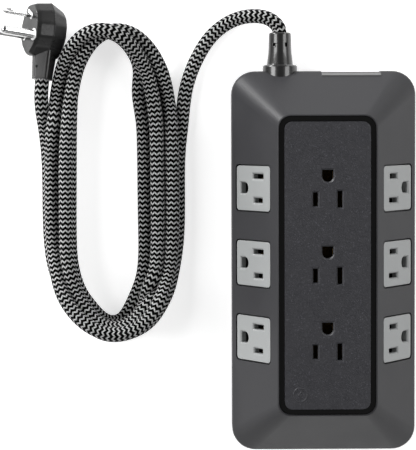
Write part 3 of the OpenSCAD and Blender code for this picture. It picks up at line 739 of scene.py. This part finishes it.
def make_marks(looks):
    """A raised bar and a raised ring on the two ends of the rocker."""
    turn = Matrix.Translation(ROCKER_AT) @ Matrix.Rotation(ROCKER_REST, 4, "Z")
    bar = [[turn @ (Vector((MARK_OUT + x * s, ROCKER_FACE + y, z * s)) * MM)
            for x, z in ((0.35, 1.5), (-0.35, 1.5), (-0.35, -1.5), (0.35, -1.5))]
           for y, s in ((-0.3, 1.0), (0.06, 1.0), (0.14, 0.85))]
    angles = [2 * math.pi * k / RING_SIDES for k in range(RING_SIDES)]
    ring = [[turn @ (Vector((-MARK_OUT + r * math.cos(a), ROCKER_FACE + y, r * math.sin(a))) * MM)
             for a in angles]
            for r, y in ((1.5, -0.3), (1.5, 0.06), (1.38, 0.14), (1.02, 0.14), (0.9, 0.06),
                         (0.9, -0.3))]
    for piece in (stack("on_mark", bar), stack("off_mark", ring)):
        round_off(piece, 0.03 * MM, 2)
        paint(piece, looks["mark"])
        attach(piece, "rocker")


# ---------- embossed mark on the panel ----------

EMBLEM_AT = Vector((-0.0143, -0.0674, 0.049))
EMBLEM_SIDES = 64
BOLT = [(0.9, 2.7), (-1.5, -0.3), (-0.2, -0.3), (-0.9, -2.7), (1.5, 0.4), (0.2, 0.4)]


def make_emblem(looks):
    """A thin raised ring round a plain lightning bolt."""
    section = [(3.95, -0.2), (3.95, 0.0), (3.8, 0.14), (3.45, 0.14), (3.3, 0.0), (3.3, -0.2)]
    angles = [2 * math.pi * k / EMBLEM_SIDES for k in range(EMBLEM_SIDES)]
    vertices = [EMBLEM_AT + Vector((r * math.cos(a), r * math.sin(a), z)) * MM
                for a in angles for r, z in section]
    step = len(section)
    faces = [(k * step + i, k * step + (i + 1) % step,
              (k + 1) % EMBLEM_SIDES * step + (i + 1) % step, (k + 1) % EMBLEM_SIDES * step + i)
             for k in range(EMBLEM_SIDES) for i in range(step)]
    ring = add_mesh("emblem_ring", vertices, faces)
    bolt = stack("emblem_bolt", [[EMBLEM_AT + Vector((x * s, y * s, z)) * MM for x, y in BOLT]
                                 for z, s in ((-0.2, 1.0), (0.0, 1.0), (0.14, 0.86))])
    for piece in (ring, bolt):
        round_off(piece, 0.03 * MM, 2)
        paint(piece, looks["panel"])
        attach(piece, BODY)


# ---------- plug moulding ----------

# middle of the plug's face, and the turn from the plug's own directions
PLUG_AT = Vector((-0.1564, 0.1269, 0.0151))
PLUG_TURN = (Matrix.Rotation(math.radians(171), 3, "Z") @ Matrix.Rotation(math.radians(62), 3, "Y")
             @ Matrix.Rotation(math.radians(187), 3, "Z"))
# half of the face's outline in millimetres, from the end away from the cord to the near one
PLUG_HALF = [(4.2, 11.5), (8.8, 6.8), (11.2, 0.5), (11.2, -6.5), (7.6, -12), (2.5, -16.4)]
# depth behind the face, size of the outline there, its shift across and along, and how far
# it is stretched towards the cord
PLUG_LEVELS = [(0.0, 0.905, 0, 0, 1), (-0.25, 0.925, 0, 0, 1), (-1.5, 0.985, 0, 0, 1),
               (-2.3, 1.0, 0, 0.05, 1), (-9.1, 1.045, 0.3, 0.6, 1), (-9.35, 1.06, 0.3, 0.6, 1),
               (-9.65, 1.06, 0.3, 0.6, 1), (-9.9, 1.045, 0.3, 0.6, 1.02),
               (-16.6, 0.735, 1.4, 0.5, 1.4), (-18.0, 0.62, 1.6, 0.5, 1.45)]
# the relief's middle line, across the plug and behind its face, and half of its section
RELIEF_AT = (1.2, -10)
RELIEF_HALF = [(6.3, 0.8), (1.5, 6.4), (-3.4, 6.2), (-6.2, 3.2)]
# distance along the cord and size of the relief there
RELIEF_LEVELS = [(-7.0, 1.04), (-15.0, 0.97), (-22.0, 0.89), (-27.4, 0.82), (-27.7, 0.84),
                 (-28.3, 0.83), (-28.3, 0.66)]
PLUG_FILLET = 1.3
RELIEF_FILLET = 0.7
# the small hole in the relief: its place in the plug, its direction, radius and half depth
HOLE_AT = (3.2, -21.9, -5.0)
HOLE_AXIS = Vector((-0.3, 0.13, 0.94))
HOLE_RADIUS = 0.7 * MM
HOLE_DEPTH = 1.5 * MM


def filleted(corners, radius, count=4):
    """The closed outline with an arc of points in place of each corner."""
    points = []
    for before, corner, after in zip(corners[-1:] + corners[:-1], corners,
                                     corners[1:] + corners[:1]):
        corner = Vector(corner)
        back, on = Vector(before) - corner, Vector(after) - corner
        reach = min(radius, 0.42 * back.length, 0.42 * on.length)
        start, stop = corner + back.normalized() * reach, corner + on.normalized() * reach
        for t in np.linspace(0, 1, count):
            points.append(tuple(start * (1 - t) ** 2 + corner * 2 * t * (1 - t) + stop * t * t))
    return points


def in_plug(x, y, z):
    """A point given in millimetres in the plug's own directions, from its face."""
    return PLUG_AT + PLUG_TURN @ Vector((x, y, z)) * MM


def stack(name, rings):
    """A closed skin over rings of points, the first and last ring filled in."""
    count = len(rings[0])
    faces = [(j * count + i, j * count + (i + 1) % count,
              (j + 1) * count + (i + 1) % count, (j + 1) * count + i)
             for j in range(len(rings) - 1) for i in range(count)]
    faces.append(tuple(reversed(range(count))))
    faces.append(tuple(range((len(rings) - 1) * count, len(rings) * count)))
    piece = add_mesh(name, [point for ring in rings for point in ring], faces)
    solid = bmesh.new()
    solid.from_mesh(piece.data)
    bmesh.ops.recalc_face_normals(solid, faces=solid.faces)
    solid.to_mesh(piece.data)
    solid.free()
    return piece


def round_off(piece, width, segments=3, limit=20):
    """Rounds the sharp edges of a piece drawn here."""
    bevel = piece.modifiers.new("Round edges", "BEVEL")
    bevel.width = width
    bevel.segments = segments
    bevel.limit_method = "ANGLE"
    bevel.angle_limit = math.radians(limit)
    piece.modifiers.new("Even shading", "WEIGHTED_NORMAL")


def make_plug(looks):
    """The plug's moulding in two pieces: the body with the blades, and the relief."""
    outline = filleted(PLUG_HALF + [(-x, y) for x, y in reversed(PLUG_HALF)], PLUG_FILLET, 5)
    rings = [[in_plug(size * x + sx, size * y * (tail if y < 0 else 1) + sy, z)
              for x, y in outline] for z, size, sx, sy, tail in PLUG_LEVELS]
    moulding = stack("plug_moulding", rings)
    section = filleted(RELIEF_HALF + [(x, -z) for x, z in reversed(RELIEF_HALF)], RELIEF_FILLET)
    rings = [[in_plug(RELIEF_AT[0] + size * x, y, RELIEF_AT[1] + size * z) for x, z in section]
             for y, size in RELIEF_LEVELS]
    relief = stack("plug_relief", rings)
    hole = lathe("hole", [(HOLE_RADIUS, -HOLE_DEPTH), (HOLE_RADIUS, HOLE_DEPTH)],
                 Vector((0, 0, 0)), 24)
    hole.data.transform(Matrix.Translation(in_plug(*HOLE_AT))
                        @ HOLE_AXIS.to_track_quat("Y", "Z").to_matrix().to_4x4())
    cut(relief, hole)
    round_off(moulding, 0.4 * MM)
    round_off(relief, 0.35 * MM)
    for piece in (moulding, relief):
        paint(piece, looks["plug"])
        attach(piece, BODY)
    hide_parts("plug_body")
    return [moulding, relief]


# ---------- stage ----------


FLOOR_HALF = 3
FLOOR_Z = -0.0002
FLOOR_GLOW = 0.64
FLOOR_GREYS = (222, 228)


def make_stage():
    """A pale floor that glows a little, so that it shows nearly white."""
    corners = [(x * FLOOR_HALF, y * FLOOR_HALF, FLOOR_Z)
               for x, y in ((-1, -1), (1, -1), (1, 1), (-1, 1))]
    floor = add_mesh("floor", corners, [(0, 1, 2, 3)], smooth=False)
    look = Look("studio_floor", 225, 0.9)
    look.set("Specular IOR Level", 0.1)
    look.set("Emission Color", (1, 1, 1, 1))
    look.set("Emission Strength", FLOOR_GLOW)
    greys = ((*linear(grey), 1) for grey in FLOOR_GREYS)
    look.join(look.blend(look.noise(6), *greys), "Base Color")
    paint(floor, look.material)


# the world's strength near the horizon and at the zenith, and the heights it fades between
HORIZON, ZENITH = 0.44, 0.1
FADE_FROM, FADE_TO = 0.1, 0.9
LIGHT_TARGET = (-0.05, 0.05, 0)
# name, place, size and watts of each soft light
LIGHTS = [
    ("Left", (-1.15, 0.15, 1.0), (0.6, 0.75), 13),
    ("Right", (1.05, 0.15, 1.0), (0.6, 0.75), 8),
    ("Upper left", (-1.05, 1.05, 0.22), (0.45, 0.35), 25),
    ("Upper right", (0.95, 1.05, 0.45), (0.35, 0.35), 5),
    ("Front", (0.0, -1.3, 0.6), (1.2, 0.3), 1.5),
]


def add_area_light(name, at, size, watts):
    """One soft light, turned towards the target."""
    data = bpy.data.lights.new(name, "AREA")
    data.shape = "RECTANGLE"
    data.size, data.size_y = size
    data.energy = watts
    light = bpy.data.objects.new(name, data)
    light.location = at
    light.rotation_euler = (Vector(LIGHT_TARGET) - Vector(at)).to_track_quat("-Z", "Y").to_euler()
    bpy.context.collection.objects.link(light)


def make_light():
    """A pale world that darkens towards its zenith, and the soft lights."""
    world = bpy.data.worlds.new("Studio")
    world.use_nodes = True
    nodes, links = world.node_tree.nodes, world.node_tree.links
    height = nodes.new("ShaderNodeSeparateXYZ")
    links.new(nodes.new("ShaderNodeTexCoord").outputs["Generated"], height.inputs[0])
    fade = nodes.new("ShaderNodeMapRange")
    for socket, value in (("From Min", FADE_FROM), ("From Max", FADE_TO),
                          ("To Min", HORIZON), ("To Max", ZENITH)):
        fade.inputs[socket].default_value = value
    links.new(height.outputs["Z"], fade.inputs["Value"])
    links.new(fade.outputs["Result"], nodes["Background"].inputs["Strength"])
    nodes["Background"].inputs["Color"].default_value = (1, 1, 1, 1)
    bpy.context.scene.world = world
    for light in LIGHTS:
        add_area_light(*light)
    bpy.context.scene.view_settings.view_transform = "Standard"


# ---------- assembly ----------

make_camera()
cord, cord_path = make_cord()
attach(cord, BODY)
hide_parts("cord_lead_in", "cord_coil", "cord_tail")

looks = make_materials()
boot = make_boot(looks)
make_lip(looks)
make_emblem(looks)
make_marks(looks)
finish_frame(looks)
plug_pieces = make_plug(looks) + [NODES[name] for name in (
    "plug_bridge", "plug_line_blade", "plug_neutral_blade", "plug_ground_pin")]
make_stage()
make_light()
